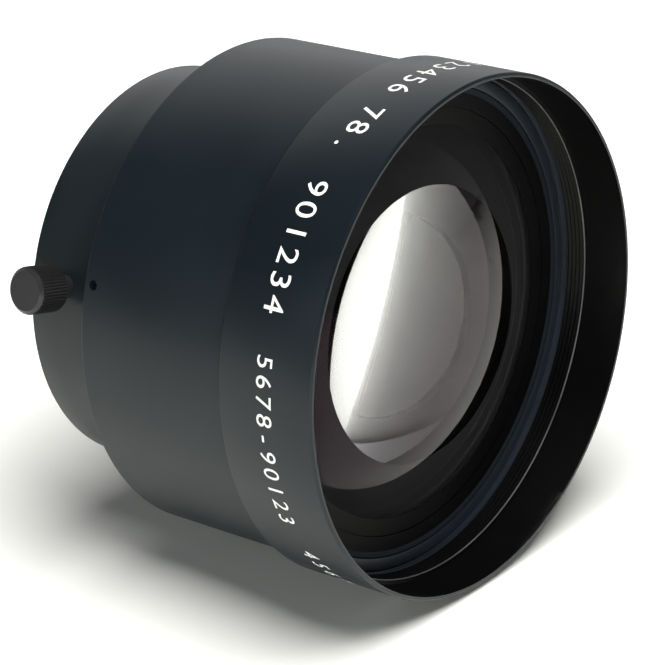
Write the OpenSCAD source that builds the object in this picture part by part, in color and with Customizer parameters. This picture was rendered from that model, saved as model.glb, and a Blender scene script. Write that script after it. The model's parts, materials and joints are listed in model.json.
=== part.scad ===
// Clamp-on front converter for a television zoom lens.
// The optical axis is Z. The clamp collar's rear end face is at z = 0 and the front rim is at the top.
// The thumbscrew stands out along X.

/* [Host lens and collar] */
// Diameter of the host lens that the collar slips over
host_d = 80; // [70:0.5:92]
// Radial clearance between the collar and the host lens
host_gap = 0.1; // [0.02:0.01:0.2]
// Wall of the collar round the clamp bore
collar_wall = 3.4; // [3:0.1:5]
// Length of the collar behind the barrel
collar_len = 23.3; // [20:0.1:28]
// Depth of the clamp bore, from the rear face to its stop
bore_depth = 18; // [15:0.5:19]
// How far the collar's stop flange reaches in from the bore
stop_step = 3.1; // [2.5:0.1:3.5]
// How far the collar's spigot stands out past the clamp bore
spigot_step = 1.9; // [1.6:0.1:2.4]
// Chamfer on the collar's edges
collar_chamfer = 0.6; // [0.3:0.1:1]

/* [Barrel] */
// Length of barrel that shows between the collar and the front ring
barrel_len = 38.5; // [34:0.5:46]
// Length of the barrel's nose inside the front ring
nose_len = 7.2; // [6.2:0.1:8.4]
// Wall of the barrel
barrel_wall = 2.9; // [2.4:0.1:3.4]
// Thickness of the web at the rear of the barrel
web_t = 5.7; // [4.8:0.1:7]
// Chamfer on the barrel's edges
barrel_chamfer = 0.4; // [0.2:0.1:0.8]

/* [Front ring] */
// Depth of the plain hood, from the rim to the filter thread
hood_depth = 10.2; // [8:0.1:14]
// Length of the filter thread inside the ring
filter_len = 4.8; // [3:0.1:6]
// Length of the relief groove behind the filter thread
relief_len = 1; // [0.6:0.1:1.6]
// How far the thread's crests lie inside the barrel's outer surface
thread_step = 0.05; // [0.01:0.01:0.1]
// Depth of the hood's wall behind the thread's crests
hood_step = 1.05; // [0.8:0.05:1.4]
// Width of the flat lip at the front rim
lip_w = 1; // [0.6:0.1:1.4]
// Chamfer on the outer edges of the front ring
ring_chamfer = 0.4; // [0.2:0.05:0.5]

/* [Thumbscrew] */
// Height of the screw's axis above the rear face
screw_z = 9.5; // [8:0.1:11.5]
// Diameter of the knurled head
head_d = 10; // [8:0.5:12]
// Length of the knurled head
head_len = 8.5; // [6:0.5:12]
// Gap under the head with the screw as the photo shows it
head_gap = 3.3; // [3:0.1:5]
// Chamfer on the ends of the head
head_chamfer = 0.9; // [0.5:0.1:1.2]
// Number of knurl grooves
knurl_n = 48; // [36:2:60]
// Depth of the knurl grooves
knurl_depth = 0.32; // [0.2:0.02:0.4]
// Diameter of the screw's shank
shank_d = 5; // [4:0.5:6]
// Radial clearance of the shank in the collar
shank_gap = 0.05; // [0.02:0.01:0.08]
// Length of the soft shoe in front of the screw's end
shoe_len = 1.2; // [1:0.1:1.6]
// Diameter of the shoe's stem inside the screw
stem_d = 2; // [1.6:0.1:2.4]
// Length of the shoe's stem
stem_len = 2.6; // [2:0.1:3]
// How far the shoe's face lies behind the bore's wall
shoe_set_back = 0.2; // [0.1:0.1:0.6]

/* [Grub screws] */
// Height of the grub screws above the barrel's rear edge
grub_z = 2.5; // [2:0.1:3]
// Diameter of the grub screws
grub_d = 2; // [1.6:0.1:2.5]
// How deep the grub screws are sunk below the barrel's surface
grub_sink = 1.5; // [0.5:0.1:3]
// Angle of the first grub screw from the thumbscrew
grub_angle = -4.6; // [-20:0.1:20]

/* [Front lens group] */
// How much larger the front element is than the host lens
front_growth = 8; // [6:0.5:10]
// How far the cell's lip reaches in over the front element
lip_reach = 2.3; // [1.8:0.1:2.8]
// Wall from the front element to the barrel's bore
cell_wall = 6.1; // [5.6:0.1:7]
// Depth of the front retaining ring's seat below the barrel's nose
ring_recess = 2.4; // [2.2:0.1:3]
// Width of the front retaining ring
retainer_w = 4.6; // [4:0.1:5]
// Thickness of the front retaining ring
retainer_t = 2.1; // [1.6:0.1:2.2]
// Radius of the first element's front face
first_front_r = 83; // [76:1:100]
// Edge thickness of the first element
first_edge_t = 1.9; // [1.6:0.1:3]
// Thickness of the spacer's flange, which masks the rim of the cemented faces
spacer_t = 0.4; // [0.3:0.1:1]
// How far the spacer's flange reaches in over the second element
spacer_reach = 5.3; // [4.6:0.1:6]
// Radial step from the first element to the cemented pair
pair_step = 11; // [10.4:0.1:11.6]
// How far the cell ring reaches in over the cemented pair
pair_reach = 2.4; // [2:0.1:2.8]
// Edge thickness of the second element, flat in front
second_edge_t = 2.6; // [2.2:0.1:3.2]
// Radius of the cemented face, its centre in front
cemented_r = 150; // [130:2:180]
// Edge thickness of the third element
third_edge_t = 7; // [6.4:0.1:8]
// Height of the threaded ring that holds the front elements
front_ring_t = 5; // [4:0.1:6]
// Depth of the light stop behind the third element
stop_drop = 0.8; // [0.6:0.1:1.6]
// Thickness of the light stop, the inner web of the ring that holds the front elements
light_stop_t = 1.2; // [0.8:0.1:2]
// How far the light stop reaches in from that ring
light_stop_reach = 12.2; // [11:0.1:13]
// Length of the front cell behind that ring
cell_tail = 1.2; // [0.8:0.1:3]

/* [Rear lens group] */
// Gap between the rear cell's tube and the collar's stop
tube_gap = 0.5; // [0.3:0.1:0.8]
// Distance from the stop's seat for the host lens to the rear cell
host_room = 1.2; // [0.8:0.1:2]
// Wall of the rear cell round the rear elements
rear_cell_wall = 3.45; // [3:0.05:4]
// How far the rear cell's lip reaches in over the rear elements
rear_reach = 2; // [1.6:0.1:2.4]
// Height of the rear cell's lip
rear_lip_t = 2; // [1.6:0.1:2.6]
// Height of the threaded ring that holds the rear elements
rear_ring_t = 1.8; // [1.4:0.1:2.2]
// Radius of the fourth element's front face, its centre in front
fourth_front_r = 130; // [110:1:150]
// Centre thickness of the fourth element
fourth_t = 3; // [2.5:0.1:3.6]
// Radius of the rear cemented face, its centre behind
rear_cemented_r = 66; // [56:1:78]
// Edge thickness of the fifth element
fifth_edge_t = 1.2; // [1:0.1:1.6]
// Radius of the fifth element's rear face, its centre behind
fifth_rear_r = 105; // [90:1:120]
// Thickness of the adjusting shim
shim_t = 0.4; // [0.2:0.1:0.8]
// Thickness of the rear cell's flange
flange_t = 4; // [3.4:0.1:5]
// Diameter of the rear cell screws
cell_screw_d = 2.5; // [2:0.1:2.6]
// How deep the rear cell screws' heads are sunk
head_sink = 1.9; // [1.8:0.1:2.2]
// Wall of the tube that spaces the two cells
tube_wall = 8; // [6:0.1:9.6]

/* [Hidden] */

$fn = 128;
lens_fn = 360;
fit = 0.05;
over = 1;

function sag(curve, r) = curve - sqrt(curve * curve - r * r);

// Radii, from the host lens outwards
clamp_r = host_d / 2 + host_gap;
collar_r = clamp_r + collar_wall;
stop_r = clamp_r - stop_step;
spigot_r = clamp_r + spigot_step;
rear_tube_r = stop_r - tube_gap;
rear_r = rear_tube_r - rear_cell_wall - fit;
rear_clear_r = rear_r - rear_reach;
rear_flat_r = rear_clear_r + 0.2;
glass_r = host_d / 2 + front_growth / 2;
clear_r = glass_r - lip_reach;
pair_r = glass_r - pair_step;
pair_clear_r = pair_r - pair_reach;
spacer_clear_r = pair_r - spacer_reach;
light_stop_r = pair_clear_r - light_stop_reach;
bore_r = glass_r + cell_wall;
cell_r = bore_r - 0.1;
lip_r = bore_r - retainer_w - 0.1;
barrel_r = bore_r + barrel_wall;
filter_r = barrel_r - thread_step;
relief_r = filter_r + hood_step / 2;
hood_r = filter_r + hood_step;
rim_r = hood_r + lip_w;

// Heights of the housing
ring_z = collar_len + barrel_len;
nose_z = ring_z + nose_len;
thread_low = nose_z + relief_len;
thread_top = thread_low + filter_len;
top_z = thread_top + hood_depth;
web_z = collar_len + web_t;
spigot_top = web_z - 0.1;
seat_z = nose_z - ring_recess;
cell_lip_z = nose_z - 0.6;
flange_z = web_z + shim_t;
flange_top = flange_z + flange_t;

// Front lens group, from the cell's lip down
first_z = cell_lip_z - 0.1 + sag(first_front_r, clear_r);
first_flat = first_z - sag(first_front_r, glass_r) - first_edge_t;
step_z = first_flat - spacer_t;
cemented_z = first_flat - second_edge_t - sag(cemented_r, pair_r);
third_z = first_flat - second_edge_t - third_edge_t;
web_top_z = third_z - stop_drop;
front_ring_low = third_z - front_ring_t;
cell_low = front_ring_low - cell_tail;

// Rear lens group, from the host lens up
rear_tube_low = bore_depth + host_room;
rear_low = rear_tube_low + rear_ring_t;
fifth_z = rear_low + sag(fifth_rear_r, rear_flat_r);
rear_cemented_z = rear_low + fifth_edge_t + sag(rear_cemented_r, rear_r);
fourth_z = rear_cemented_z + fourth_t;
rear_top = fourth_z + sag(fourth_front_r, rear_flat_r);
rear_lip_z = rear_top + rear_lip_t;

// Rear cell screws, midway between the spigot and the barrel's bore
circle_r = (spigot_r + bore_r) / 2 + 0.1;
screw_hole_r = cell_screw_d / 2 + fit;
screw_head_r = cell_screw_d * 0.9;
screw_head_t = head_sink - 0.3;
sink_z = flange_top - head_sink;
screw_low = web_z - web_t * 0.68;
cell_screw_angle = grub_angle + 60;

// Thumbscrew, along X
head_x = collar_r + head_gap;
shoe_x = clamp_r + shoe_set_back;
shank_x = shoe_x + shoe_len;
shank_r = shank_d / 2;
cross_r = shank_r + shank_gap;
stem_r = stem_d / 2;
shoe_r = shank_r - 0.2;

// A ring from radius a to radius b between two heights, with chamfers on its outer edges
module ring(a, b, low, high, cut_low = 0, cut_high = 0) {
    rotate_extrude()
        polygon([
            [a, low],
            [b - cut_low, low],
            [b, low + cut_low],
            [b, high - cut_high],
            [b - cut_high, high],
            [a, high]
        ]);
}

// A plain round pin from one height to another
module pin(r, low, high) {
    translate([0, 0, low])
        cylinder(r = r, h = high - low);
}

// A pin that points away from the axis, from radius a to radius b at height z
module spoke(r, a, b, z, angle) {
    rotate([0, 0, angle])
        translate([a, 0, z])
            rotate([0, 90, 0])
                cylinder(r = r, h = b - a, $fn = 64);
}

// A lens face: the ball whose top is at height z
module ball_under(curve, z) {
    translate([0, 0, z - curve])
        sphere(r = curve, $fn = lens_fn);
}

// A lens face: the ball whose lowest point is at height z
module ball_over(curve, z) {
    translate([0, 0, z + curve])
        sphere(r = curve, $fn = lens_fn);
}

module front_ring() {
    color([0.03, 0.03, 0.035])
        rotate_extrude()
            polygon([
                [barrel_r + fit, ring_z],
                [rim_r - ring_chamfer, ring_z],
                [rim_r, ring_z + ring_chamfer],
                [rim_r, top_z - ring_chamfer],
                [rim_r - ring_chamfer, top_z],
                [hood_r, top_z],
                [hood_r, thread_top],
                [filter_r, thread_top],
                [filter_r, thread_low],
                [relief_r, thread_low],
                [relief_r, nose_z],
                [barrel_r + fit, nose_z]
            ]);
}

module main_barrel() {
    color([0.03, 0.03, 0.035])
        difference() {
            ring(spigot_r + fit, barrel_r, collar_len, nose_z, barrel_chamfer, barrel_chamfer);
            pin(bore_r, web_z, nose_z + over);
            for (i = [0:2])
                spoke(grub_d / 2 + fit, spigot_r - over, barrel_r + over, collar_len + grub_z, grub_angle + 120 * i);
            for (i = [0:2])
                rotate([0, 0, cell_screw_angle + 120 * i])
                    translate([circle_r, 0, 0])
                        pin(screw_hole_r, screw_low - 0.2, web_z + over, $fn = 64);
        }
}

module clamp_collar() {
    color([0.04, 0.04, 0.045])
        difference() {
            union() {
                ring(stop_r, collar_r, 0, collar_len, collar_chamfer, 0);
                ring(stop_r, spigot_r, collar_len - over, spigot_top, 0, 0.3);
            }
            pin(clamp_r, -over, bore_depth);
            spoke(cross_r, clamp_r - 5, collar_r + over, screw_z, 0);
        }
}

module thumbscrew() {
    knurl_step = 360 / knurl_n;
    color([0.05, 0.05, 0.055])
        translate([0, 0, screw_z])
            rotate([0, 90, 0])
                difference() {
                    union() {
                        intersection() {
                            translate([0, 0, head_x])
                                linear_extrude(height = head_len)
                                    polygon([
                                        for (i = [0:2 * knurl_n - 1])
                                            (head_d / 2 - (i % 2) * knurl_depth)
                                                * [cos(i * knurl_step / 2), sin(i * knurl_step / 2)]
                                    ]);
                            ring(0, head_d / 2 + 0.01, head_x, head_x + head_len, head_chamfer, head_chamfer);
                        }
                        pin(shank_r, shank_x, head_x + 2, $fn = 96);
                    }
                    pin(stem_r + fit, shank_x - over, shank_x + stem_len + 0.1, $fn = 64);
                }
}

module clamp_shoe() {
    color([0.75, 0.73, 0.66])
        translate([0, 0, screw_z])
            rotate([0, 90, 0])
                union() {
                    pin(shoe_r, shoe_x, shank_x, $fn = 96);
                    pin(stem_r, shank_x - 0.5, shank_x + stem_len, $fn = 64);
                }
}

module barrel_grub_screws() {
    color([0.2, 0.2, 0.21])
        for (i = [0:2])
            difference() {
                spoke(grub_d / 2, spigot_r, barrel_r - grub_sink, collar_len + grub_z, grub_angle + 120 * i);
                rotate([0, 0, grub_angle + 120 * i])
                    translate([barrel_r - grub_sink, 0, collar_len + grub_z])
                        cube([1.4, 0.35, grub_d + over], center = true);
            }
}

module front_retaining_ring() {
    color([0.02, 0.02, 0.02])
        ring(bore_r - retainer_w, bore_r - fit, seat_z, seat_z + retainer_t, 0, 0.2);
}

module front_cell() {
    color([0.02, 0.02, 0.02])
        difference() {
            union() {
                ring(clear_r, cell_r, cell_low, seat_z, 0, 0);
                ring(clear_r, lip_r, seat_z - over, cell_lip_z, 0, 0);
            }
            pin(glass_r + fit, cell_low - over, first_flat + 1.5);
            intersection() {
                ball_under(first_front_r + 0.02, first_z + 0.02);
                pin(glass_r + fit, first_flat + 1, first_z + over);
            }
        }
}

module front_lens() {
    color([0.55, 0.5, 0.62, 0.5])
        intersection() {
            ball_under(first_front_r, first_z);
            pin(glass_r, first_flat, first_z + over);
        }
}

module lens_spacer() {
    color([0.02, 0.02, 0.02])
        difference() {
            ring(spacer_clear_r + fit, glass_r, third_z, first_flat);
            pin(pair_r + fit, third_z - over, step_z);
        }
}

module middle_lens() {
    color([0.6, 0.62, 0.7, 0.5])
        union() {
            intersection() {
                ball_over(cemented_r, cemented_z);
                pin(pair_r, cemented_z - over, step_z);
            }
            pin(spacer_clear_r, step_z - 0.5, first_flat);
        }
}

module cemented_lens() {
    color([0.6, 0.66, 0.7, 0.5])
        difference() {
            pin(pair_r, third_z, cemented_z + sag(cemented_r, pair_r));
            ball_over(cemented_r, cemented_z);
        }
}

// A threaded ring whose inner web is the light stop
module front_cell_ring() {
    color([0.02, 0.02, 0.02])
        difference() {
            rotate_extrude()
                polygon([
                    [light_stop_r, web_top_z - light_stop_t],
                    [glass_r - 6, web_top_z - light_stop_t],
                    [glass_r - 6, front_ring_low],
                    [glass_r, front_ring_low],
                    [glass_r, third_z],
                    [pair_clear_r, third_z],
                    [pair_clear_r, web_top_z],
                    [light_stop_r, web_top_z]
                ]);
            for (i = [0:1])
                rotate([0, 0, 90 + 180 * i])
                    translate([glass_r - 3, 0, front_ring_low])
                        cube([4, 1.6, 2.4], center = true);
        }
}

module spacing_tube() {
    color([0.5, 0.5, 0.52])
        ring(cell_r - tube_wall, cell_r, flange_top, cell_low, 0.3, 0.3);
}

module rear_cell() {
    color([0.03, 0.03, 0.03])
        difference() {
            union() {
                ring(rear_clear_r, rear_tube_r, rear_tube_low, rear_lip_z, 0, 0.3);
                ring(rear_tube_r - 1, cell_r, flange_z, flange_top);
            }
            pin(rear_r + fit, rear_tube_low - over, rear_top);
            for (i = [0:2])
                rotate([0, 0, cell_screw_angle + 120 * i])
                    translate([circle_r, 0, 0]) {
                        pin(screw_hole_r + 0.05, flange_z - over, flange_top, $fn = 64);
                        pin(screw_head_r + 0.1, sink_z, flange_top + over, $fn = 64);
                    }
        }
}

module rear_lens() {
    color([0.6, 0.66, 0.7, 0.5])
        difference() {
            pin(rear_r, rear_cemented_z - sag(rear_cemented_r, rear_r), rear_top);
            ball_over(fourth_front_r, fourth_z);
            ball_under(rear_cemented_r, rear_cemented_z);
        }
}

module rear_inner_lens() {
    color([0.6, 0.62, 0.7, 0.5])
        difference() {
            intersection() {
                ball_under(rear_cemented_r, rear_cemented_z);
                pin(rear_r, rear_low, rear_cemented_z + over);
            }
            ball_under(fifth_rear_r, fifth_z);
        }
}

module rear_cell_ring() {
    color([0.02, 0.02, 0.02])
        difference() {
            ring(rear_clear_r, rear_r, rear_tube_low, rear_low);
            for (i = [0:1])
                rotate([0, 0, 180 * i])
                    translate([rear_clear_r, 0, rear_tube_low])
                        cube([2.4, 1.6, 1.6], center = true);
        }
}

module adjusting_shim() {
    color([0.7, 0.6, 0.3])
        difference() {
            ring(spigot_r + 0.6, cell_r, web_z, flange_z);
            for (i = [0:2])
                rotate([0, 0, cell_screw_angle + 120 * i])
                    translate([circle_r, 0, 0])
                        pin(screw_hole_r + 0.1, web_z - over, flange_z + over, $fn = 64);
        }
}

module rear_cell_screws() {
    color([0.3, 0.3, 0.32])
        for (i = [0:2])
            rotate([0, 0, cell_screw_angle + 120 * i])
                translate([circle_r, 0, 0])
                    difference() {
                        union() {
                            pin(cell_screw_d / 2, screw_low, sink_z + 0.5, $fn = 64);
                            pin(screw_head_r, sink_z, sink_z + screw_head_t, $fn = 64);
                        }
                        translate([0, 0, sink_z + screw_head_t])
                            cube([0.6, 2 * screw_head_r + over, 1.4], center = true);
                    }
}

front_ring();
main_barrel();
clamp_collar();
thumbscrew();
clamp_shoe();
barrel_grub_screws();
front_retaining_ring();
front_cell();
front_lens();
lens_spacer();
middle_lens();
cemented_lens();
front_cell_ring();
spacing_tube();
rear_cell();
rear_lens();
rear_inner_lens();
rear_cell_ring();
adjusting_shim();
rear_cell_screws();
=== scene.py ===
"""Looks of a clamp-on front converter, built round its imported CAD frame.

The optical axis is Z, the collar's rear end face is at z = 0 and the thumbscrew stands out along X.
Sizes are in millimetres in the classes and become metres where a mesh is made.
"""

from __future__ import annotations

import json
import logging
import math
from dataclasses import dataclass
from enum import Enum
from typing import Sequence

import bpy
from mathutils import Matrix, Vector

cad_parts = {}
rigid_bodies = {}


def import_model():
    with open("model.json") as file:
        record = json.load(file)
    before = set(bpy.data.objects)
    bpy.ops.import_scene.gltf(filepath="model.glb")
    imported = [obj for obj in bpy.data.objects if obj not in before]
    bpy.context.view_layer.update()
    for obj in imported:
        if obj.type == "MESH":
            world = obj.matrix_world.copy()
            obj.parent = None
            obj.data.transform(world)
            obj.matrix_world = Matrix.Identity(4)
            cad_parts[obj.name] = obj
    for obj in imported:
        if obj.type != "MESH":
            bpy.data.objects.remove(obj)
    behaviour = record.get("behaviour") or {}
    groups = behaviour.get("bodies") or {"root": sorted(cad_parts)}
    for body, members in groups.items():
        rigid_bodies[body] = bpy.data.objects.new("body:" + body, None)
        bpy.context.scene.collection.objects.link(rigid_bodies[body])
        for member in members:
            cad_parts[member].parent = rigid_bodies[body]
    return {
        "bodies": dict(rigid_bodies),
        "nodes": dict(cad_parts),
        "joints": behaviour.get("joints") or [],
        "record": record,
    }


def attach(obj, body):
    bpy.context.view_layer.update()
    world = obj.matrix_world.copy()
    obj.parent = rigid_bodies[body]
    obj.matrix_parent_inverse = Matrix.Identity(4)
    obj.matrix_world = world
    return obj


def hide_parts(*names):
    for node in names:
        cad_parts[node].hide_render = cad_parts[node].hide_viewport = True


LOG = logging.getLogger("converter")
MM = 0.001
STEPS = 256
GLASS_STEPS = 192
HOLE_STEPS = 48
EDGE_ANGLE = 28.0
METAL_ANGLE = 32.0
GLASS_ANGLE = 20.0
NOISE_LOW = 0.3
NOISE_HIGH = 0.7
MIX_FACTOR = 0
MIX_FIRST = 6
MIX_SECOND = 7
MIX_RESULT = 2
THREE_AT = (0.0, 120.0, 240.0)
WHITE = (1.0, 1.0, 1.0)
Profile = list[tuple[float, float]]
Colour = tuple[float, float, float]
Socket = bpy.types.NodeSocket


class Facing(Enum):
    """Which way a lens face bulges along the axis."""

    FRONT = 1
    REAR = -1


class RingFace(Enum):
    """Material slots of the turned front ring."""

    OUTSIDE = 0
    HOOD = 1
    RELIEF = 2
    PAINTED_HIGHLIGHT = 3


def sag(curve: float, radius: float) -> float:
    """Depth of a spherical face.

    Args:
        curve: Radius of the face.
        radius: Distance from the axis.

    Returns:
        The depth, in the unit of both.
    """
    return curve - math.sqrt(curve * curve - radius * radius)


def arc(curve: float, vertex: float, start: float, end: float, facing: Facing, count: int = 32) -> Profile:
    """Points of a spherical lens face.

    Args:
        curve: Radius of the face.
        vertex: Height of the face on the axis.
        start: Distance of the first point from the axis.
        end: Distance of the last point from the axis.
        facing: The way the face bulges.
        count: Number of steps between the points.

    Returns:
        Points as (radius, height).
    """
    points = []
    for i in range(count + 1):
        radius = start + (end - start) * i / count
        points.append((radius, vertex - facing.value * sag(curve, radius)))
    return points


def deselect() -> None:
    """Leaves object mode with nothing selected."""
    if bpy.context.object and bpy.context.object.mode != "OBJECT":
        bpy.ops.object.mode_set(mode="OBJECT")
    bpy.ops.object.select_all(action="DESELECT")


def focus(piece: bpy.types.Object) -> None:
    """Selects one piece alone and makes it active.

    Args:
        piece: The piece.
    """
    deselect()
    piece.select_set(True)
    bpy.context.view_layer.objects.active = piece


def turned(name: str, profile: Profile, closed: bool = True, steps: int = STEPS) -> bpy.types.Object:
    """Turns a profile about the optical axis.

    Args:
        name: Name of the piece.
        profile: Points as (radius, height), in millimetres.
        closed: Whether the last point joins the first one.
        steps: Number of steps round the axis.

    Returns:
        The piece.
    """
    deselect()
    bpy.ops.mesh.primitive_plane_add(size=MM)
    piece = bpy.context.object
    piece.name = name
    piece.data.name = name
    bpy.ops.object.mode_set(mode="EDIT")
    bpy.ops.mesh.select_mode(type="VERT")
    bpy.ops.mesh.select_all(action="SELECT")
    bpy.ops.mesh.merge(type="CENTER")
    bpy.ops.transform.translate(value=(profile[0][0] * MM, 0, profile[0][1] * MM))
    for (r0, z0), (r1, z1) in zip(profile, profile[1:]):
        step = ((r1 - r0) * MM, 0, (z1 - z0) * MM)
        bpy.ops.mesh.extrude_region_move(TRANSFORM_OT_translate={"value": step})
    if closed:
        bpy.ops.mesh.select_all(action="DESELECT")
        bpy.ops.object.mode_set(mode="OBJECT")
        piece.data.vertices[0].select = True
        piece.data.vertices[len(profile) - 1].select = True
        bpy.ops.object.mode_set(mode="EDIT")
        bpy.ops.mesh.edge_face_add()
    bpy.ops.mesh.select_all(action="SELECT")
    bpy.ops.mesh.spin(steps=steps, angle=math.tau, center=(0, 0, 0), axis=(0, 0, 1))
    bpy.ops.mesh.select_all(action="SELECT")
    bpy.ops.mesh.remove_doubles(threshold=2e-6)
    bpy.ops.mesh.normals_make_consistent(inside=False)
    bpy.ops.object.mode_set(mode="OBJECT")
    return piece


def soften(piece: bpy.types.Object, width: float, segments: int = 2) -> None:
    """Rounds the sharp edges of a piece and applies the result.

    Args:
        piece: The piece.
        width: Width of the rounding, in millimetres.
        segments: Steps across the rounding.
    """
    focus(piece)
    bevel = piece.modifiers.new("edge_round", "BEVEL")
    bevel.width = width * MM
    bevel.segments = segments
    bevel.limit_method = "ANGLE"
    bevel.angle_limit = math.radians(EDGE_ANGLE)
    bevel.harden_normals = False
    bpy.ops.object.modifier_apply(modifier=bevel.name)


def drill(piece: bpy.types.Object, radius: float, start: Vector, end: Vector) -> None:
    """Drills a round hole through a piece.

    Args:
        piece: The piece.
        radius: Radius of the hole, in millimetres.
        start: Middle of one end of the hole.
        end: Middle of its other end.
    """
    deselect()
    along = end - start
    turn = along.to_track_quat("Z", "Y").to_euler()
    bpy.ops.mesh.primitive_cylinder_add(
        vertices=HOLE_STEPS,
        radius=radius * MM,
        depth=along.length * MM,
        location=(start + end) / 2 * MM,
        rotation=turn,
    )
    cutter = bpy.context.object
    focus(piece)
    cut = piece.modifiers.new("hole", "BOOLEAN")
    cut.operation = "DIFFERENCE"
    cut.object = cutter
    bpy.ops.object.modifier_apply(modifier=cut.name)
    bpy.data.objects.remove(cutter)


def around(angle: float, radius: float, height: float) -> Vector:
    """A place given round the optical axis.

    Args:
        angle: Angle from the X axis, in degrees.
        radius: Distance from the axis, in millimetres.
        height: Height, in millimetres.

    Returns:
        The place, in millimetres.
    """
    turn = math.radians(angle)
    return Vector((radius * math.cos(turn), radius * math.sin(turn), height))


def smooth(piece: bpy.types.Object, angle: float = METAL_ANGLE) -> None:
    """Shades a piece smooth.

    Args:
        piece: The piece.
        angle: Angle above which an edge stays sharp, in degrees.
    """
    focus(piece)
    bpy.ops.object.shade_smooth_by_angle(angle=math.radians(angle))


class Nodes:
    """A tree of shader nodes."""

    def __init__(self, tree: bpy.types.NodeTree) -> None:
        """Empties a tree.

        Args:
            tree: The tree of a material or a world.
        """
        self.tree = tree
        self.tree.nodes.clear()

    def add(self, kind: str, **values: object) -> bpy.types.Node:
        """Adds a node and sets its attributes.

        Args:
            kind: The node's type, without its usual beginning.
            values: Attributes by name.

        Returns:
            The node.
        """
        node = self.tree.nodes.new("ShaderNode" + kind)
        for key, value in values.items():
            setattr(node, key, value)
        return node

    def link(self, start: Socket, end: Socket) -> None:
        """Links two sockets.

        Args:
            start: The output.
            end: The input.
        """
        self.tree.links.new(start, end)

    def step(self, value: Socket, low: float, high: float) -> bpy.types.Node:
        """Adds a soft step from 0 to 1.

        Args:
            value: The value.
            low: Where the step begins.
            high: Where it ends.

        Returns:
            The node.
        """
        node = self.add("MapRange", interpolation_type="SMOOTHSTEP")
        node.inputs["From Min"].default_value = low
        node.inputs["From Max"].default_value = high
        self.link(value, node.inputs["Value"])
        return node


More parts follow.
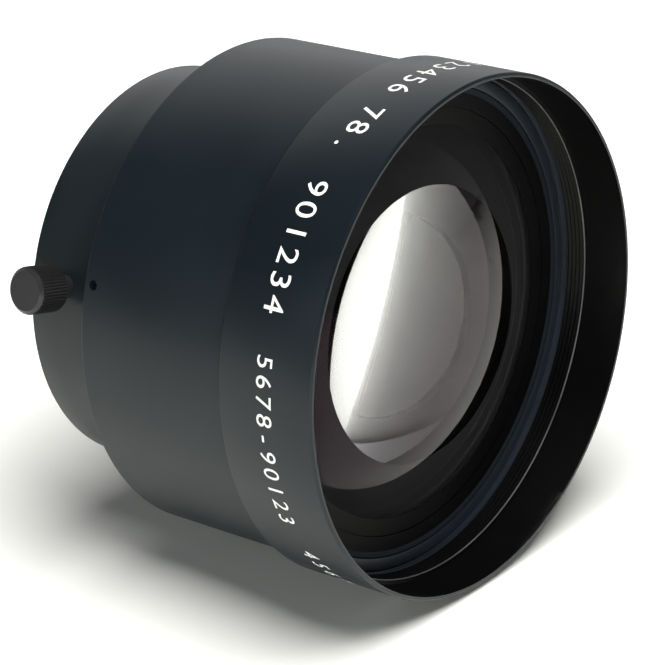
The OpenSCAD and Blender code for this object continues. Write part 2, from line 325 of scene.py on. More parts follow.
class Graph(Nodes):
    """The node tree of one material."""

    def __init__(self, name: str) -> None:
        """Makes an empty material.

        Args:
            name: Its name.
        """
        self.material = bpy.data.materials.new(name)
        self.material.use_nodes = True
        super().__init__(self.material.node_tree)
        self.output = self.add("OutputMaterial")

    def principled(self, colour: Colour, roughness: float, **values: object) -> bpy.types.Node:
        """Adds the main shader and links it to the output.

        Args:
            colour: Base colour.
            roughness: Roughness.
            values: Other inputs, with blanks in their names as underscores.

        Returns:
            The shader.
        """
        shader = self.add("BsdfPrincipled")
        shader.inputs["Base Color"].default_value = (*colour, 1)
        shader.inputs["Roughness"].default_value = roughness
        for key, value in values.items():
            shader.inputs[key.replace("_", " ")].default_value = value
        self.link(shader.outputs[0], self.output.inputs["Surface"])
        return shader

    def place(self) -> Socket:
        """Reads the place on the piece.

        Returns:
            The piece's own coordinates.
        """
        return self.add("TexCoord").outputs["Object"]

    def turning(self, pitch: float) -> Socket:
        """Coordinates that change only along the profile of a turned piece.

        Args:
            pitch: Distance between turning marks, in millimetres.

        Returns:
            A vector of radius and height, in pitches.
        """
        parts = self.add("SeparateXYZ")
        self.link(self.place(), parts.inputs[0])
        flat = self.add("CombineXYZ")
        self.link(parts.outputs["X"], flat.inputs["X"])
        self.link(parts.outputs["Y"], flat.inputs["Y"])
        length = self.add("VectorMath", operation="LENGTH")
        self.link(flat.outputs[0], length.inputs[0])
        joined = self.add("CombineXYZ")
        self.link(length.outputs["Value"], joined.inputs["X"])
        self.link(parts.outputs["Z"], joined.inputs["Z"])
        scaled = self.add("VectorMath", operation="SCALE")
        scaled.inputs["Scale"].default_value = 1 / (pitch * MM)
        self.link(joined.outputs[0], scaled.inputs[0])
        return scaled.outputs[0]

    def noise(self, scale: float, detail: float, vector: Socket | None = None) -> Socket:
        """Adds a noise texture and returns its value.

        Args:
            scale: Scale of the noise, per metre of the vector.
            detail: Octaves.
            vector: Coordinates, or none for the piece's own.

        Returns:
            The noise, from 0 to 1.
        """
        noise = self.add("TexNoise")
        noise.inputs["Scale"].default_value = scale
        noise.inputs["Detail"].default_value = detail
        self.link(vector or self.place(), noise.inputs["Vector"])
        return noise.outputs["Fac"]

    def spread(self, value: Socket, low: float, high: float) -> Socket:
        """Maps a noise value's middle part to a range.

        Args:
            value: Noise from 0 to 1.
            low: Result at the low end of the middle part.
            high: Result at its high end.

        Returns:
            The mapped value.
        """
        mapped = self.add("MapRange")
        mapped.inputs["From Min"].default_value = NOISE_LOW
        mapped.inputs["From Max"].default_value = NOISE_HIGH
        mapped.inputs["To Min"].default_value = low
        mapped.inputs["To Max"].default_value = high
        self.link(value, mapped.inputs["Value"])
        return mapped.outputs["Result"]

    def blend(self, value: Socket, low: Colour, high: Colour) -> Socket:
        """Blends two colours by a noise value.

        Args:
            value: Noise from 0 to 1.
            low: Colour at the low end of its middle part.
            high: Colour at the high end.

        Returns:
            The colour.
        """
        ramp = self.add("ValToRGB")
        ramp.color_ramp.elements[0].position = NOISE_LOW
        ramp.color_ramp.elements[1].position = NOISE_HIGH
        ramp.color_ramp.elements[0].color = (*low, 1)
        ramp.color_ramp.elements[1].color = (*high, 1)
        self.link(value, ramp.inputs["Fac"])
        return ramp.outputs["Color"]

    def above(self, height: float, colour: Socket, other: Colour) -> Socket:
        """Changes a colour above a height.

        Args:
            height: The height, in millimetres.
            colour: The colour below it.
            other: The colour above it.

        Returns:
            The colour.
        """
        parts = self.add("SeparateXYZ")
        self.link(self.place(), parts.inputs[0])
        return self.past(parts.outputs["Z"], height, colour, other)

    def beyond(self, radius: float, colour: Socket, other: Colour) -> Socket:
        """Changes a colour beyond a distance from the optical axis.

        Args:
            radius: The distance, in millimetres.
            colour: The colour inside it.
            other: The colour outside it.

        Returns:
            The colour.
        """
        parts = self.add("SeparateXYZ")
        self.link(self.turning(1 / MM), parts.inputs[0])
        return self.past(parts.outputs["X"], radius, colour, other)

    def past(self, value: Socket, edge: float, colour: Socket, other: Colour) -> Socket:
        """Changes a colour where a length is greater than a limit.

        Args:
            value: The length, in metres.
            edge: The limit, in millimetres.
            colour: The colour below it.
            other: The colour above it.

        Returns:
            The colour.
        """
        over = self.add("Math", operation="GREATER_THAN")
        over.inputs[1].default_value = edge * MM
        self.link(value, over.inputs[0])
        mix = self.add("Mix", data_type="RGBA")
        mix.inputs[MIX_SECOND].default_value = (*other, 1)
        self.link(over.outputs[0], mix.inputs[MIX_FACTOR])
        self.link(colour, mix.inputs[MIX_FIRST])
        return mix.outputs[MIX_RESULT]

    def bump(self, height: Socket, depth: float, shader: bpy.types.Node) -> None:
        """Bumps a shader.

        Args:
            height: Height from 0 to 1.
            depth: Depth of the bump, in millimetres.
            shader: The shader.
        """
        bump = self.add("Bump")
        bump.inputs["Strength"].default_value = 1
        bump.inputs["Distance"].default_value = depth * MM
        self.link(height, bump.inputs["Height"])
        self.link(bump.outputs[0], shader.inputs["Normal"])


@dataclass(frozen=True)
class Anodised:
    """Black anodised aluminium with turning marks, in some pieces with a lighter band of painted sheen."""

    name: str
    dark: Colour
    pale: Colour
    roughness: float
    pitch: float
    mark_depth: float
    ior: float = 1.5
    grain_depth: float = 0.0015
    painted_sheen: Colour | None = None
    painted_sheen_from: float = 0.0
    painted_sheen_beyond: float = 0.0
    cloud_scale: float = 38.0
    grain_scale: float = 2600.0
    rough_spread: float = 0.04

    def build(self) -> bpy.types.Material:
        """Makes the material.

        Returns:
            The material. Its lighter band of painted sheen starts beyond a radius, or else above a height.
        """
        graph = Graph(self.name)
        shader = graph.principled(self.dark, self.roughness, Metallic=0.0, IOR=self.ior)
        cloud = graph.noise(self.cloud_scale, 3)
        colour = graph.blend(cloud, self.dark, self.pale)
        # the band's lighter colour is painted sheen, a painted reflection, not the metal's own colour
        if self.painted_sheen is not None and self.painted_sheen_beyond > 0:
            colour = graph.beyond(self.painted_sheen_beyond, colour, self.painted_sheen)
        elif self.painted_sheen is not None:
            colour = graph.above(self.painted_sheen_from, colour, self.painted_sheen)
        graph.link(colour, shader.inputs["Base Color"])
        marks = graph.noise(1, 2, graph.turning(self.pitch))
        rough = graph.spread(marks, self.roughness - self.rough_spread, self.roughness + self.rough_spread)
        graph.link(rough, shader.inputs["Roughness"])
        grain = graph.noise(self.grain_scale, 2)
        mixed = graph.add("Math", operation="MULTIPLY_ADD")
        mixed.inputs[1].default_value = self.mark_depth / self.grain_depth
        graph.link(marks, mixed.inputs[0])
        graph.link(grain, mixed.inputs[2])
        graph.bump(mixed.outputs[0], self.grain_depth, shader)
        return graph.material


@dataclass(frozen=True)
class Plain:
    """A plain finish with a fine grain."""

    name: str
    dark: Colour
    pale: Colour
    roughness: float
    metallic: float = 0.0
    grain_scale: float = 2200.0
    grain_depth: float = 0.002
    ior: float = 1.5
    cloud_scale: float = 60.0

    def build(self) -> bpy.types.Material:
        """Makes the material.

        Returns:
            The material.
        """
        graph = Graph(self.name)
        shader = graph.principled(self.dark, self.roughness, Metallic=self.metallic, IOR=self.ior)
        cloud = graph.noise(self.cloud_scale, 3)
        graph.link(graph.blend(cloud, self.dark, self.pale), shader.inputs["Base Color"])
        graph.bump(graph.noise(self.grain_scale, 3), self.grain_depth, shader)
        return graph.material


@dataclass(frozen=True)
class CoatedGlass:
    """Clear optical glass with a coating that reflects one colour."""

    name: str
    ior: float
    coating: Colour

    def build(self) -> bpy.types.Material:
        """Makes the material.

        Returns:
            The material.
        """
        graph = Graph(self.name)
        graph.principled(
            WHITE,
            0.0,
            IOR=self.ior,
            Transmission_Weight=1.0,
            Specular_Tint=(*self.coating, 1),
        )
        return graph.material


Finish = Anodised | Plain | CoatedGlass
SATIN_DARK = (0.004, 0.007, 0.010)
SATIN_PALE = (0.007, 0.011, 0.014)
INNER_DARK = (0.0015, 0.0015, 0.0018)
INNER_PALE = (0.003, 0.003, 0.003)
# lighter blue-grey painted as sheen on the barrel's nose face and the retainer's outer edge
SHEEN_BLUE_GREY = (0.013, 0.016, 0.021)


@dataclass(frozen=True)
class Finishes:
    """Every finish of the converter."""

    ring: Anodised = Anodised(
        "ring_satin_black",
        dark=SATIN_DARK,
        pale=SATIN_PALE,
        roughness=0.36,
        pitch=0.09,
        mark_depth=0.0008,
        ior=1.45,
    )
    barrel: Anodised = Anodised(
        "barrel_satin_black",
        dark=SATIN_DARK,
        pale=SATIN_PALE,
        roughness=0.38,
        pitch=0.09,
        mark_depth=0.0008,
        ior=1.45,
        # painted sheen: the nose face above this height is given the lighter blue-grey
        painted_sheen=SHEEN_BLUE_GREY,
        painted_sheen_from=68.95,
    )
    collar: Anodised = Anodised(
        "collar_turned_black",
        dark=(0.006, 0.009, 0.011),
        pale=(0.010, 0.014, 0.016),
        roughness=0.36,
        pitch=0.16,
        mark_depth=0.004,
        ior=1.45,
    )
    hood: Anodised = Anodised(
        "hood_black",
        dark=(0.0015, 0.0015, 0.0015),
        pale=INNER_PALE,
        roughness=0.35,
        pitch=0.12,
        mark_depth=0.002,
        ior=1.22,
    )
    cell: Anodised = Anodised(
        "cell_black",
        dark=INNER_DARK,
        pale=INNER_PALE,
        roughness=0.45,
        pitch=0.12,
        mark_depth=0.0005,
        ior=1.2,
        grain_depth=0.0004,
    )
    retainer: Anodised = Anodised(
        "retainer_black",
        dark=INNER_DARK,
        pale=INNER_PALE,
        roughness=0.45,
        pitch=0.12,
        mark_depth=0.0005,
        ior=1.2,
        grain_depth=0.0004,
        # painted sheen: the retainer beyond this radius is given the lighter blue-grey
        painted_sheen=SHEEN_BLUE_GREY,
        painted_sheen_beyond=48.7,
    )
    screw: Anodised = Anodised(
        "screw_black",
        dark=(0.012, 0.012, 0.013),
        pale=(0.020, 0.020, 0.021),
        roughness=0.34,
        pitch=0.08,
        mark_depth=0.001,
    )
    # painted sheen: the thread relief's wall is given a lighter blue-grey, continuing the nose band
    relief: Plain = Plain(
        "relief_painted_sheen", dark=(0.013, 0.017, 0.023), pale=(0.018, 0.022, 0.029), roughness=0.42
    )
    # a lighter edge colour painted as the thin highlight lines on the hood's lip and top thread crest
    painted_highlight: Plain = Plain("painted_highlight_edge", dark=(0.05, 0.055, 0.055), pale=(0.10, 0.105, 0.105), roughness=0.45)
    stop: Plain = Plain(
        "stop_black",
        dark=(0.005, 0.0045, 0.004),
        pale=(0.008, 0.007, 0.006),
        roughness=0.6,
        grain_depth=0.0002,
        ior=1.1,
    )
    # painted light: the spacing tube is given a pale colour so that it shows as the bright oval seen
    # through the glass
    tube: Plain = Plain("tube_pale_painted_light", dark=(0.80, 0.80, 0.75), pale=(0.86, 0.86, 0.81), roughness=0.55)
    steel: Plain = Plain(
        "oiled_steel", dark=(0.16, 0.16, 0.165), pale=(0.24, 0.24, 0.24), roughness=0.38, metallic=1.0
    )
    brass: Plain = Plain(
        "shim_brass_rolled", dark=(0.62, 0.47, 0.2), pale=(0.7, 0.56, 0.28), roughness=0.35, metallic=1.0
    )
    shoe: Plain = Plain("shoe_moulded", dark=(0.66, 0.63, 0.55), pale=(0.74, 0.71, 0.63), roughness=0.5)
    paint: Plain = Plain("number_paint", dark=(0.80, 0.80, 0.78), pale=(0.88, 0.88, 0.86), roughness=0.55)
    edge: Plain = Plain(
        "lens_edge_black",
        dark=(0.003, 0.002, 0.003),
        pale=(0.004, 0.003, 0.004),
        roughness=0.7,
        grain_depth=0.0002,
    )
    glass: CoatedGlass = CoatedGlass("coated_glass", ior=1.56, coating=(0.16, 0.07, 0.12))


class Maker:
    """Gives pieces their finish and their body."""

    def __init__(self) -> None:
        """Loads the frame and makes room for the materials."""
        self.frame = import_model()
        self.made: dict[str, bpy.types.Material] = {}

    def material(self, finish: Finish) -> bpy.types.Material:
        """Gives the material of a finish, which is made once.

        Args:
            finish: The finish.

        Returns:
            The material.
        """
        if finish.name not in self.made:
            self.made[finish.name] = finish.build()
        return self.made[finish.name]

    def dress(
        self,
        piece: bpy.types.Object,
        finishes: Sequence[Finish],
        body: str,
        nodes: Sequence[str] = (),
    ) -> None:
        """Gives a piece its finish, body, slot and the nodes that it stands for.

        Args:
            piece: The piece.
            finishes: Its finishes, one for each material slot.
            body: The body that it rides on.
            nodes: The CAD nodes that it replaces.
        """
        piece.data.materials.clear()
        for finish in finishes:
            piece.data.materials.append(self.material(finish))
        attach(piece, body)
        if nodes:
            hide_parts(*nodes)
        LOG.info("%s: %d faces", piece.name, len(piece.data.polygons))

    def repaint(self, node: str, finish: Finish) -> None:
        """Gives a CAD node a finish.

        Args:
            node: Name of the node.
            finish: The finish.
        """
        piece = self.frame["nodes"][node]
        piece.data.materials.clear()
        piece.data.materials.append(self.material(finish))
        LOG.info("%s: CAD node kept", node)


@dataclass
class Housing:
    """The front ring, barrel and collar."""

    rim_r: float = 55.0
    hood_r: float = 54.0
    filter_r: float = 52.95
    thread_root: float = 53.5
    thread_pitch: float = 1.0
    barrel_r: float = 53.0
    bore_r: float = 50.1
    top_z: float = 85.0
    thread_top: float = 74.8
    thread_low: float = 70.0
    nose_z: float = 69.0
    ring_z: float = 61.8
    barrel_z: float = 23.3
    web_z: float = 29.0
    web_r: float = 42.05
    chamfer: float = 0.4
    collar_r: float = 43.5
    collar_chamfer: float = 0.6
    clamp_r: float = 40.1
    bore_depth: float = 18.0
    stop_r: float = 37.0
    spigot_r: float = 42.0
    spigot_z: float = 28.9
    screw_z: float = 9.5
    cross_r: float = 2.55
    grub_r: float = 1.05
    grub_z: float = 2.5
    grub_angle: float = -4.6
    web_hole_r: float = 1.3
    web_hole_ring: float = 46.15
    web_hole_angle: float = 55.4
    web_hole_low: float = 24.9
    ring_fit: float = 0.05
    crest_land: float = 0.1
    crest_start: float = 0.25
    grub_margin: float = 0.4
    cross_margin: float = 0.5
    ring_round: float = 0.09
    body_round: float = 0.06
    overshoot: float = 1.0
    outside_from: float = 0.12
    lip_from: float = 0.01
    lip_depth: float = 0.06
    # reach and depth of the painted highlight on the top thread crest
    highlight_width: float = 0.15
    highlight_depth: float = 0.3
    relief_margin: float = 0.05

    def ring_profile(self) -> Profile:
        """Draws the front ring, with its filter thread.

        Returns:
            The profile.
        """
        points = [
            (self.barrel_r + self.ring_fit, self.ring_z),
            (self.rim_r - self.chamfer, self.ring_z),
            (self.rim_r, self.ring_z + self.chamfer),
            (self.rim_r, self.top_z - self.chamfer),
            (self.rim_r - self.chamfer, self.top_z),
            (self.hood_r, self.top_z),
            (self.hood_r, self.thread_top),
            (self.filter_r + self.crest_land, self.thread_top),
        ]
        height = self.thread_top - self.crest_start
        while height - self.thread_pitch > self.thread_low:
            points += [
                (self.filter_r, height),
                (self.thread_root, height - self.thread_pitch / 2),
            ]
            height -= self.thread_pitch
        points += [
            (self.filter_r, height),
            (self.thread_root, self.thread_low),
            (self.thread_root, self.nose_z),
            (self.barrel_r + self.ring_fit, self.nose_z),
        ]
        return points

    def barrel_profile(self) -> Profile:
        """Draws the barrel, with its web.

        Returns:
            The profile.
        """
        return [
            (self.web_r, self.barrel_z),
            (self.barrel_r - self.chamfer, self.barrel_z),
            (self.barrel_r, self.barrel_z + self.chamfer),
            (self.barrel_r, self.barrel_z + self.grub_z - self.grub_r - self.grub_margin),
            (self.barrel_r, self.barrel_z + self.grub_z + self.grub_r + self.grub_margin),
            (self.barrel_r, self.nose_z - self.chamfer),
            (self.barrel_r - self.chamfer, self.nose_z),
            (self.bore_r, self.nose_z),
            (self.bore_r, self.web_z),
            (self.web_r, self.web_z),
        ]

    def collar_profile(self) -> Profile:
        """Draws the collar, with its stop flange and spigot.

        Returns:
            The profile.
        """
        return [
            (self.clamp_r, 0.0),
            (self.collar_r - self.collar_chamfer, 0.0),
            (self.collar_r, self.collar_chamfer),
            (self.collar_r, self.screw_z - self.cross_r - self.cross_margin),
            (self.collar_r, self.screw_z + self.cross_r + self.cross_margin),
            (self.collar_r, self.barrel_z),
            (self.spigot_r, self.barrel_z),
            (self.spigot_r, self.spigot_z),
            (self.stop_r, self.spigot_z),
            (self.stop_r, self.bore_depth),
            (self.clamp_r, self.bore_depth),
        ]

    def ring_face(self, radius: float, height: float) -> RingFace:
        """Picks the finish of a face of the front ring.

        Args:
            radius: Distance of the face's middle from the axis.
            height: Its height.

        Returns:
            The finish.
        """
        if radius > self.hood_r + self.outside_from:
            return RingFace.OUTSIDE
        if radius > self.hood_r + self.lip_from:
            # the lip's front face gets the lighter colour of the painted highlight
            return RingFace.PAINTED_HIGHLIGHT if height > self.top_z - self.lip_depth else RingFace.OUTSIDE
        # the top thread crest gets it too, as a painted highlight line
        crest = self.thread_top - self.highlight_depth < height < self.thread_top
        if crest and radius < self.filter_r + self.highlight_width:
            return RingFace.PAINTED_HIGHLIGHT
        # faces below the thread get the relief finish, which is painted sheen
        return RingFace.RELIEF if height < self.thread_low + self.relief_margin else RingFace.HOOD

    def build_ring(self, maker: Maker, finishes: Finishes) -> None:
        """Builds the front ring.

        Args:
            maker: Gives finish and body.
            finishes: The finishes.
        """
        ring = turned("front_ring_turned", self.ring_profile())
        soften(ring, self.ring_round)
        smooth(ring)
        ring_finishes = [finishes.ring, finishes.hood, finishes.relief, finishes.painted_highlight]
        maker.dress(ring, ring_finishes, "root", ["front_ring"])
        for face in ring.data.polygons:
            centre = face.center / MM
            face.material_index = self.ring_face(math.hypot(centre.x, centre.y), centre.z).value

    def build_barrel(self, maker: Maker, finishes: Finishes) -> None:
        """Builds the barrel, with its grub screw holes and web holes.

        Args:
            maker: Gives finish and body.
            finishes: The finishes.
        """
        barrel = turned("barrel_turned", self.barrel_profile())
        soften(barrel, self.body_round)
        inside = self.web_r - self.overshoot
        outside = self.barrel_r + self.overshoot
        height = self.barrel_z + self.grub_z
        above = self.web_z + self.overshoot
        for turn in THREE_AT:
            angle = self.grub_angle + turn
            drill(barrel, self.grub_r, around(angle, inside, height), around(angle, outside, height))
            place = self.web_hole_angle + turn
            low = around(place, self.web_hole_ring, self.web_hole_low)
            drill(barrel, self.web_hole_r, low, around(place, self.web_hole_ring, above))
        smooth(barrel)
        maker.dress(barrel, [finishes.barrel], "root", ["main_barrel"])

    def build_collar(self, maker: Maker, finishes: Finishes) -> None:
        """Builds the collar, with the thumbscrew's cross hole.

        Args:
            maker: Gives finish and body.
            finishes: The finishes.
        """
        collar = turned("collar_turned", self.collar_profile())
        soften(collar, self.body_round)
        start = around(0, self.clamp_r - 2 * self.overshoot, self.screw_z)
        drill(collar, self.cross_r, start, around(0, self.collar_r + self.overshoot, self.screw_z))
        smooth(collar)
        maker.dress(collar, [finishes.collar], "root", ["clamp_collar"])

    def build(self, maker: Maker, finishes: Finishes) -> None:
        """Builds the three housing pieces.

        Args:
            maker: Gives finish and body.
            finishes: The finishes.
        """
        self.build_ring(maker, finishes)
        self.build_barrel(maker, finishes)
        self.build_collar(maker, finishes)


@dataclass
class Glassware:
    """The lens elements, each cemented group as one body of glass."""

    glass_r: float = 44.0
    clear_r: float = 41.7
    lip_z: float = 68.3
    first_front_r: float = 83.0
    first_edge: float = 1.9
    mask_r: float = 27.7
    mask_t: float = 0.4
    pair_r: float = 33.0
    pair_t: float = 9.6
    rear_r: float = 33.0
    rear_flat_r: float = 31.2
    rear_low: float = 21.0
    fifth_rear_r: float = 105.0
    rear_cemented_r: float = 66.0
    fifth_edge: float = 1.2
    fourth_t: float = 3.0
    fourth_front_r: float = 130.0
    gap: float = 0.03
    front_points: int = 48
    paint_reach: float = 0.4
    rear_paint_reach: float = 0.3
    paint_margin: float = 0.05
    rim_margin: float = 0.02
    rear_paint_height: float = 30.0

    def front(self) -> Profile:
        """Draws the front group: the first element, with two smaller ones cemented to its flat rear.

        The ground faces are pulled in by the gap, so that they don't lie in the faces of the metal.

        Returns:
            The profile.
        """
        vertex = self.lip_z + sag(self.first_front_r, self.clear_r)
        flat = vertex - sag(self.first_front_r, self.glass_r) - self.first_edge
        edge = self.glass_r - self.gap
        pair_edge = self.pair_r - self.gap
        step = flat - self.mask_t - self.gap
        return arc(self.first_front_r, vertex, 0.0, edge, Facing.FRONT, self.front_points) + [
            (edge, flat + self.gap),
            (self.mask_r - self.gap, flat + self.gap),
            (self.mask_r - self.gap, step),
            (pair_edge, step),
            (pair_edge, flat - self.pair_t),
            (0.0, flat - self.pair_t),
        ]

    def rear(self) -> Profile:
        """Draws the rear pair.

        Returns:
            The profile.
        """
        rear = self.rear_low + sag(self.fifth_rear_r, self.rear_flat_r)
        cemented = self.rear_low + self.fifth_edge + sag(self.rear_cemented_r, self.rear_r)
        front = cemented + self.fourth_t
        top = front + sag(self.fourth_front_r, self.rear_flat_r)
        front_face = arc(self.fourth_front_r, front, 0.0, self.rear_flat_r, Facing.REAR)
        rear_face = arc(self.fifth_rear_r, rear, self.rear_flat_r, 0.0, Facing.FRONT)
        return front_face + [(self.rear_r, top), (self.rear_r, self.rear_low)] + rear_face

    def blacken(self, piece: bpy.types.Object, edge: float, low: float, high: float) -> None:
        """Gives the ground edges and flats of a body of glass the black edge paint.

        Args:
            piece: The glass.
            edge: Radius from which faces are painted.
            low: Height from which faces are painted.
            high: Height up to which faces are painted.
        """
        for face in piece.data.polygons:
            centre = face.center / MM
            if math.hypot(centre.x, centre.y) > edge and low < centre.z < high:
                face.material_index = 1

    def build(self, maker: Maker, finishes: Finishes) -> None:
        """Builds the two bodies of glass.

        Args:
            maker: Gives finish and body.
            finishes: The finishes.
        """
        coats = [finishes.glass, finishes.edge]
        front_nodes = ["front_lens", "middle_lens", "cemented_lens"]
        front = turned("front_block", self.front(), closed=False, steps=GLASS_STEPS)
        smooth(front, GLASS_ANGLE)
        maker.dress(front, coats, "root", front_nodes)
        vertex = self.lip_z + sag(self.first_front_r, self.clear_r)
        rim = vertex - sag(self.first_front_r, self.glass_r)
        low = rim - self.first_edge - self.pair_t + self.paint_margin
        self.blacken(front, self.mask_r - self.paint_reach, low, rim - self.rim_margin)
        rear = turned("rear_pair", self.rear(), closed=False, steps=GLASS_STEPS)
        smooth(rear, GLASS_ANGLE)
        maker.dress(rear, coats, "root", ["rear_lens", "rear_inner_lens"])
        low = self.rear_low + self.paint_margin
        self.blacken(rear, self.rear_r - self.rear_paint_reach, low, self.rear_low + self.rear_paint_height)


@dataclass(frozen=True)
class NumberGroup:
    """Plain numbers along the front ring."""

    text: str
    start: float
    pitch: float
    height: float
    level: float


@dataclass
class Numbers:
    """The painted numbers round the front ring."""

    radius: float = 55.0
    proud: float = 0.03
    stretch: float = 1.1
    digit_share: float = 0.7
    curve_steps: int = 5
    groups: tuple[NumberGroup, ...] = (
        NumberGroup("0123456", start=-97.6, pitch=5.07, height=4.85, level=73.6),
        NumberGroup("78.", start=-57.4, pitch=5.05, height=4.85, level=73.6),
        NumberGroup("901234", start=-35.9, pitch=5.05, height=4.85, level=73.6),
        NumberGroup("5678-90123", start=1.1, pitch=4.15, height=3.8, level=73.4),
        NumberGroup("4567", start=51.5, pitch=5.05, height=3.8, level=73.4),
        NumberGroup("89012", start=76.7, pitch=5.05, height=3.8, level=73.4),
    )

    def character(self, text: str, height: float) -> bpy.types.Object:
        """Makes one flat character, centred across, with its foot on the X axis.

        Args:
            text: The character.
            height: Height of a digit, in millimetres.

        Returns:
            The character as a mesh.
        """
        deselect()
        bpy.ops.object.text_add()
        letter = bpy.context.object
        letter.data.body = text
        letter.data.size = height * MM / self.digit_share
        letter.data.align_x = "CENTER"
        letter.data.resolution_u = self.curve_steps
        bpy.ops.object.convert(target="MESH")
        return bpy.context.object

    def wrap(self, letter: bpy.types.Object, angle: float, height: float, level: float) -> None:
        """Lays a flat character on the ring.

        Args:
            letter: The character.
            angle: Its place round the ring, in degrees.
            height: Its height, in millimetres.
            level: Height of its middle above the collar's rear face.
        """
        radius = (self.radius + self.proud) * MM
        for vertex in letter.data.vertices:
            turn = math.radians(angle) + vertex.co.x * self.stretch / radius
            lift = vertex.co.y + (level - height / 2) * MM
            vertex.co = Vector((radius * math.cos(turn), radius * math.sin(turn), lift))

    def build(self, maker: Maker, finishes: Finishes) -> None:
        """Builds all numbers as one piece.

        Args:
            maker: Gives finish and body.
            finishes: The finishes.
        """
        letters = []
        for group in self.groups:
            for i, text in enumerate(group.text):
                letter = self.character(text, group.height)
                self.wrap(letter, group.start + i * group.pitch, group.height, group.level)
                letters.append(letter)
        deselect()
        for letter in letters:
            letter.select_set(True)
        bpy.context.view_layer.objects.active = letters[0]
        bpy.ops.object.join()
        piece = bpy.context.object
        piece.name = "ring_numbers"
        piece.data.name = "ring_numbers"
        maker.dress(piece, [finishes.paint], "root")


class Small:
    """The small parts and the parts inside, which keep their CAD meshes."""

    def build(self, maker: Maker, finishes: Finishes) -> None:
        """Gives each kept node its finish.

        Args:
            maker: Gives the finish.
            finishes: The finishes.
        """
        kept = {
            "thumbscrew": finishes.screw,
            "clamp_shoe": finishes.shoe,
            "barrel_grub_screws": finishes.steel,
            "front_retaining_ring": finishes.retainer,
            "front_cell": finishes.cell,
            "lens_spacer": finishes.cell,
            "front_cell_ring": finishes.stop,
            "spacing_tube": finishes.tube,
            "rear_cell": finishes.cell,
            "rear_cell_ring": finishes.cell,
            "adjusting_shim": finishes.brass,
            "rear_cell_screws": finishes.steel,
        }
        for node, finish in kept.items():
            maker.repaint(node, finish)


class Sky(Nodes):
    """The light of the world, which differs for each kind of ray."""

    dim: float = 0.03
    behind_gloss: float = 1.0
    right_gloss: float = 0.25
    above_gloss: float = 0.15
    diffuse: float = 0.02
    glass_low: float = 0.15
    full: float = 1.0

    def __init__(self, world: bpy.types.World) -> None:
        """Empties a world.

        Args:
            world: The world.
        """
        world.use_nodes = True
        super().__init__(world.node_tree)
        self.direction = self.add("TexCoord").outputs["Generated"]
        self.path = self.add("LightPath")

    def side_of(self, direction: Vector, low: float, high: float) -> Socket:
        """A soft step along a direction.

        Args:
            direction: The direction.
            low: Cosine at which the step begins.
            high: Cosine at which it ends.

        Returns:
            The value, from 0 to 1.
        """
        dot = self.add("VectorMath", operation="DOT_PRODUCT")
        dot.inputs[1].default_value = direction.normalized()
        self.link(self.direction, dot.inputs[0])
        return self.step(dot.outputs["Value"], low, high).outputs["Result"]

    def scaled(self, value: Socket, low: float, high: float) -> Socket:
        """Maps a value to a range.

        Args:
            value: The value, from 0 to 1.
            low: Result at 0.
            high: Result at 1.

        Returns:
            The mapped value.
        """
        mapped = self.add("MapRange")
        mapped.inputs["To Min"].default_value = low
        mapped.inputs["To Max"].default_value = high
        self.link(value, mapped.inputs["Value"])
        return mapped.outputs["Result"]

    def most(self, *values: Socket) -> Socket:
        """Gives the greatest of some values.

        Args:
            values: The values.

        Returns:
            The greatest one.
        """
        result = values[0]
        for value in values[1:]:
            greater = self.add("Math", operation="MAXIMUM")
            self.link(result, greater.inputs[0])
            self.link(value, greater.inputs[1])
            result = greater.outputs[0]
        return result

    def switched(self, ray: str, other: Socket | float, level: Socket | float) -> Socket:
        """Picks a level for one kind of ray.

        Args:
            ray: The kind of ray.
            other: The level for the other kinds.
            level: The level for this kind.

        Returns:
            The level.
        """
        mix = self.add("Mix", data_type="FLOAT")
        self.link(self.path.outputs[ray], mix.inputs["Factor"])
        for value, socket in ((other, mix.inputs["A"]), (level, mix.inputs["B"])):
            if isinstance(value, float):
                socket.default_value = value
            else:
                self.link(value, socket)
        return mix.outputs["Result"]

    def build(self, up: Vector, front: Vector, side: Vector) -> None:
        """Makes the light: white behind the part and above it, dim towards the camera.

        Args:
            up: Direction away from the floor.
            front: Direction in which the lens looks, level with the floor.
            side: Direction to the right in the photograph.
        """
        behind = self.side_of(up * 0.5 - front, 0.6, 0.97)
        right = self.side_of(side * 0.92 - up * 0.35 - front * 0.18, 0.7, 0.95)
        above = self.side_of(up, 0.7, 0.95)
        outside = self.side_of(-front, -0.55, -0.15)
        gloss = self.most(
            self.scaled(behind, self.dim, self.behind_gloss),
            self.scaled(above, self.dim, self.above_gloss),
            self.scaled(right, self.dim, self.right_gloss),
        )
        shine = self.switched("Is Glossy Ray", self.diffuse, gloss)
        glass = self.scaled(self.most(outside, above), self.glass_low, self.full)
        through = self.switched("Is Transmission Ray", shine, glass)
        level = self.switched("Is Camera Ray", through, self.full)
        background = self.add("Background")
        background.inputs["Color"].default_value = (*WHITE, 1)
        self.link(level, background.inputs["Strength"])
        self.link(background.outputs[0], self.add("OutputWorld").inputs["Surface"])


@dataclass(frozen=True)
class Lamp:
    """A square soft lamp that looks at the part."""

    name: str
    across: float
    near: float
    above: float
    size: float
    power: float
    colour: Colour
    glossy: bool = True


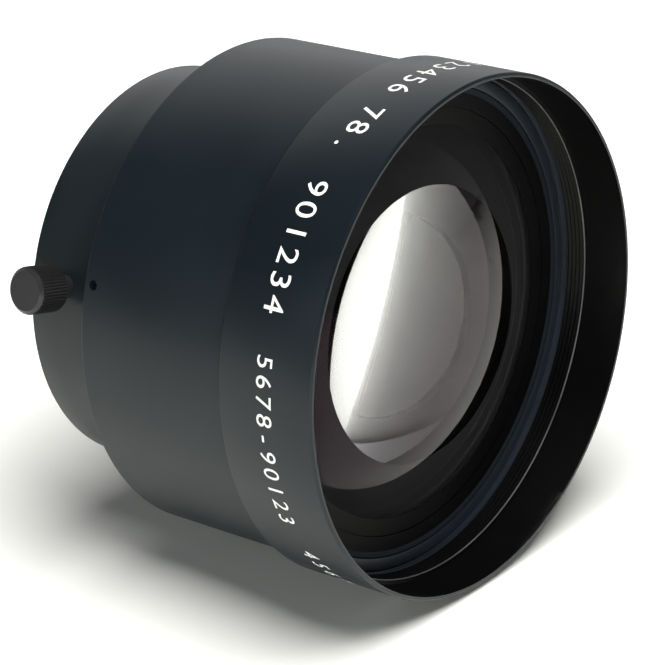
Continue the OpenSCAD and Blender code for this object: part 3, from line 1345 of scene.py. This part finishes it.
@dataclass
class Studio:
    """The pale floor, the lamps, the world and the camera."""

    up: Vector = Vector((0.2257, -0.9729, 0.0519))
    front: Vector = Vector((0.7543, 0.2082, 0.6228))
    side: Vector = Vector((-0.6166, -0.1014, 0.7807))
    centre: Vector = Vector((0.0, 0.0, 45.0))
    floor: float = -51.8
    floor_side: float = 6.0
    floor_colour: Colour = (0.9, 0.905, 0.87)
    floor_roughness: float = 0.8
    floor_gloss: float = 0.2
    # painted light: the floor's own glow, rising from glow_from to glow_to metres from the part's foot
    glow: float = 0.4
    glow_in_glass: float = 0.1
    glow_from: float = 0.06
    glow_to: float = 0.15
    focal_length: float = 156.85
    sensor: float = 36.0
    camera_place: Vector = Vector((479.254, -119.728, 409.323))
    camera_right: Vector = Vector((-0.616607, -0.101420, 0.780711))
    camera_over: Vector = Vector((-0.100590, -0.973390, -0.205897))
    camera_back: Vector = Vector((0.780818, -0.205489, 0.589997))
    lamps: tuple[Lamp, ...] = (
        Lamp("top_softbox", 110, 370, 1150, size=0.8, power=23.5, colour=(1.0, 0.995, 0.98), glossy=False),
        Lamp("front_window", -420, 380, 230, size=0.3, power=0.25, colour=(0.8, 0.9, 1.0)),
        Lamp("camera_side_fill", 40, 650, -5, size=0.28, power=3.6, colour=(1.0, 1.0, 0.97), glossy=False),
    )

    def lamp(self, lamp: Lamp) -> None:
        """Adds a lamp. Its place is to the right, towards the camera and above the part.

        Args:
            lamp: The lamp, with its place in millimetres and its size in metres.
        """
        data = bpy.data.lights.new(lamp.name, "AREA")
        data.size = lamp.size
        data.energy = lamp.power
        data.color = lamp.colour
        piece = bpy.data.objects.new(lamp.name, data)
        bpy.context.scene.collection.objects.link(piece)
        place = self.centre + self.side * lamp.across + self.front * lamp.near + self.up * lamp.above
        piece.location = place * MM
        piece.visible_glossy = lamp.glossy
        piece.rotation_euler = (self.centre * MM - place * MM).to_track_quat("-Z", "Y").to_euler()

    def painted_floor_glow(self, graph: Graph, up: Vector) -> Socket:
        """Paints light on the floor: its own glow rises with distance from the part, so that it is whiter
        far away and stays dim near the part, which deepens the shadow; for the camera and a little for the
        glass.

        Args:
            graph: The floor's material.
            up: Direction away from the floor, of length one.

        Returns:
            The strength of the floor's own light.
        """
        path = graph.add("LightPath")
        seen = graph.add("Math", operation="MULTIPLY_ADD")
        seen.inputs[1].default_value = self.glow_in_glass
        graph.link(path.outputs["Is Transmission Ray"], seen.inputs[0])
        graph.link(path.outputs["Is Camera Ray"], seen.inputs[2])
        away = graph.add("VectorMath", operation="DISTANCE")
        foot = self.centre * MM + up * (self.floor * MM - self.centre.dot(up) * MM)
        away.inputs[1].default_value = foot
        graph.link(graph.add("NewGeometry").outputs["Position"], away.inputs[0])
        rise = graph.step(away.outputs["Value"], self.glow_from, self.glow_to)
        rise.inputs["To Max"].default_value = self.glow
        strength = graph.add("Math", operation="MULTIPLY")
        graph.link(seen.outputs[0], strength.inputs[0])
        graph.link(rise.outputs["Result"], strength.inputs[1])
        return strength.outputs[0]

    def ground(self) -> None:
        """Makes the pale floor that touches the side of the part and is clear from below."""
        up = self.up.normalized()
        deselect()
        bpy.ops.mesh.primitive_plane_add(size=self.floor_side)
        floor = bpy.context.object
        floor.name = "pale_floor"
        turn = up.to_track_quat("Z", "X").to_matrix().to_4x4()
        floor.matrix_world = Matrix.Translation(up * self.floor * MM) @ turn
        graph = Graph("pale_floor_paper")
        shader = graph.principled(
            self.floor_colour, self.floor_roughness, Specular_IOR_Level=self.floor_gloss
        )
        shader.inputs["Emission Color"].default_value = (*WHITE, 1)
        graph.link(self.painted_floor_glow(graph, up), shader.inputs["Emission Strength"])
        clear = graph.add("BsdfTransparent")
        mix = graph.add("MixShader")
        graph.link(graph.add("NewGeometry").outputs["Backfacing"], mix.inputs[0])
        graph.link(shader.outputs[0], mix.inputs[1])
        graph.link(clear.outputs[0], mix.inputs[2])
        graph.link(mix.outputs[0], graph.output.inputs["Surface"])
        floor.data.materials.append(graph.material)

    def camera(self) -> None:
        """Places the camera where the photograph was taken from."""
        data = bpy.data.cameras.new("photo_camera")
        data.lens = self.focal_length
        data.sensor_width = self.sensor
        data.clip_start = 0.01
        camera = bpy.data.objects.new("photo_camera", data)
        bpy.context.scene.collection.objects.link(camera)
        axes = Matrix((self.camera_right, self.camera_over, self.camera_back))
        turn = axes.transposed().to_4x4()
        camera.matrix_world = Matrix.Translation(self.camera_place * MM) @ turn
        bpy.context.scene.camera = camera

    def build(self) -> None:
        """Builds the whole studio."""
        self.ground()
        world = bpy.data.worlds.new("pale_room")
        bpy.context.scene.world = world
        Sky(world).build(self.up, self.front, self.side)
        self.camera()
        for lamp in self.lamps:
            self.lamp(lamp)
        bpy.context.scene.view_settings.view_transform = "Standard"


def main() -> None:
    """Builds the converter and its studio."""
    logging.basicConfig(level=logging.INFO, format="%(message)s")
    maker = Maker()
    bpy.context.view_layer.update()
    finishes = Finishes()
    Housing().build(maker, finishes)
    Glassware().build(maker, finishes)
    Numbers().build(maker, finishes)
    Small().build(maker, finishes)
    Studio().build()


if __name__ == "__main__":
    main()
